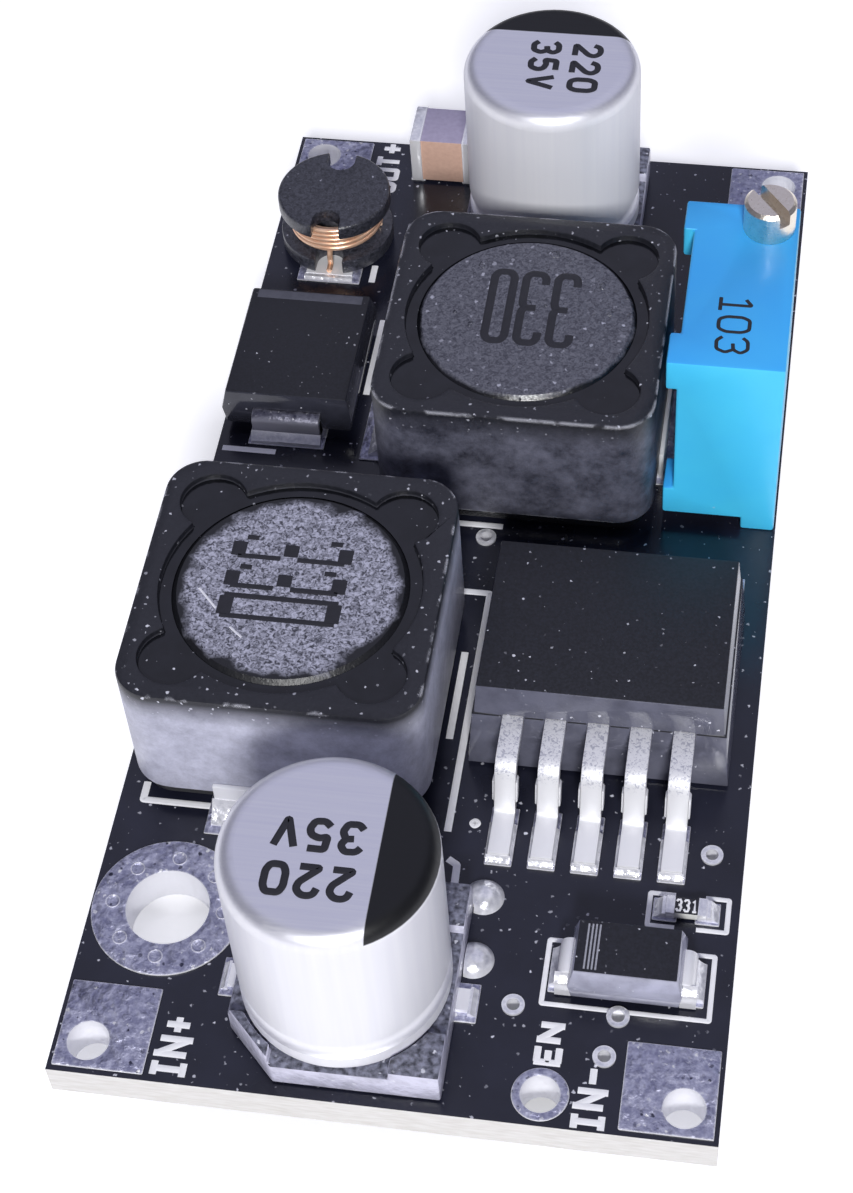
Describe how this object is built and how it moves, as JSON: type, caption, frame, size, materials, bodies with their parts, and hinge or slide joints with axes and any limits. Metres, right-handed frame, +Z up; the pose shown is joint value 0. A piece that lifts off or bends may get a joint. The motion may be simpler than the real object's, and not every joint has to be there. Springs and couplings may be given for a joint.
{
  "type": "buck-boost converter module",
  "caption": "Black circuit board power converter with square shielded coils, can capacitors, a tabbed regulator and a blue multi-turn trimmer; wire pads at both ends.",
  "frame": {"origin": "middle of the board outline at the height of the trimmer pin tips", "axes": "+Z up out of the component side, +Y along the board from the input end to the output end, +X to the right seen from the input end"},
  "size_m": [0.0252, 0.0516, 0.0142],
  "materials": {
    "solder_mask": "gloss",
    "tinned_copper": "satin, slightly rough",
    "solder": "bright",
    "can_aluminium": "satin",
    "base_plastic": "matte",
    "tinned_lead": "satin",
    "ferrite_shield": "pressed, slightly glossy",
    "ferrite_core": "ground, matte",
    "enamelled_copper": "enamelled wire",
    "coil_glue": "gloss",
    "mould_epoxy": "fine moulded",
    "chip_glaze": "gloss",
    "capacitor_ceramic": "matte",
    "track_ceramic": "matte",
    "trimmer_plastic": "satin",
    "trimmer_resin": "gloss",
    "seal_rubber": "matte",
    "screw_brass": "turned"
  },
  "bodies": {
    "module": {"circuit_board": "solder_mask", "mounting_ring": "tinned_copper", "input_plus_pad": "tinned_copper", "input_minus_pad": "tinned_copper", "output_plus_pad": "tinned_copper", "output_minus_pad": "tinned_copper", "enable_pad": "tinned_copper", "plated_vias": "tinned_copper", "component_lands": "tinned_copper", "solder_mounds": "solder", "input_capacitor_can": "can_aluminium", "input_capacitor_base": "base_plastic", "input_capacitor_leads": "tinned_lead", "output_capacitor_can": "can_aluminium", "output_capacitor_base": "base_plastic", "output_capacitor_leads": "tinned_lead", "front_coil_shield": "ferrite_shield", "front_coil_core": "ferrite_core", "front_coil_winding": "enamelled_copper", "front_coil_glue": "coil_glue", "front_coil_terminals": "tinned_lead", "rear_coil_shield": "ferrite_shield", "rear_coil_core": "ferrite_core", "rear_coil_winding": "enamelled_copper", "rear_coil_glue": "coil_glue", "rear_coil_terminals": "tinned_lead", "filter_coil_core": "ferrite_core", "filter_coil_winding": "enamelled_copper", "filter_coil_terminals": "tinned_lead", "regulator_body": "mould_epoxy", "regulator_tab": "tinned_lead", "regulator_leads": "tinned_lead", "rectifier_body": "mould_epoxy", "rectifier_terminals": "tinned_lead", "small_diode_body": "mould_epoxy", "small_diode_terminals": "tinned_lead", "chip_resistor_body": "chip_glaze", "chip_resistor_ends": "solder", "ceramic_capacitor_body": "capacitor_ceramic", "ceramic_capacitor_ends": "solder", "trimmer_case": "trimmer_plastic", "trimmer_base": "trimmer_resin", "trimmer_element": "track_ceramic", "trimmer_pins": "tinned_lead", "trimmer_pin_lands": "tinned_copper", "trimmer_solder": "solder", "trimmer_seal": "seal_rubber"},
    "adjusting_screw": {"trimmer_screw": "screw_brass"},
    "wiper": {"trimmer_wiper": "base_plastic"}
  },
  "joints": [
    {"name": "screw_turn", "type": "hinge", "parent": "module", "child": "adjusting_screw", "pos_m": [0.0112, 0.01132, 0.0134], "axis": [0, 0, 1], "range_deg": [-4501, 4501]},
    {"name": "wiper_slide", "type": "slide", "parent": "module", "child": "wiper", "axis": [0, 0, 1], "range_m": [-0.0028, 0.0028]}
  ],
  "couplings": [
    {"joint": "screw_turn", "follows": "wiper_slide", "rad_per_m": -28050}
  ]
}
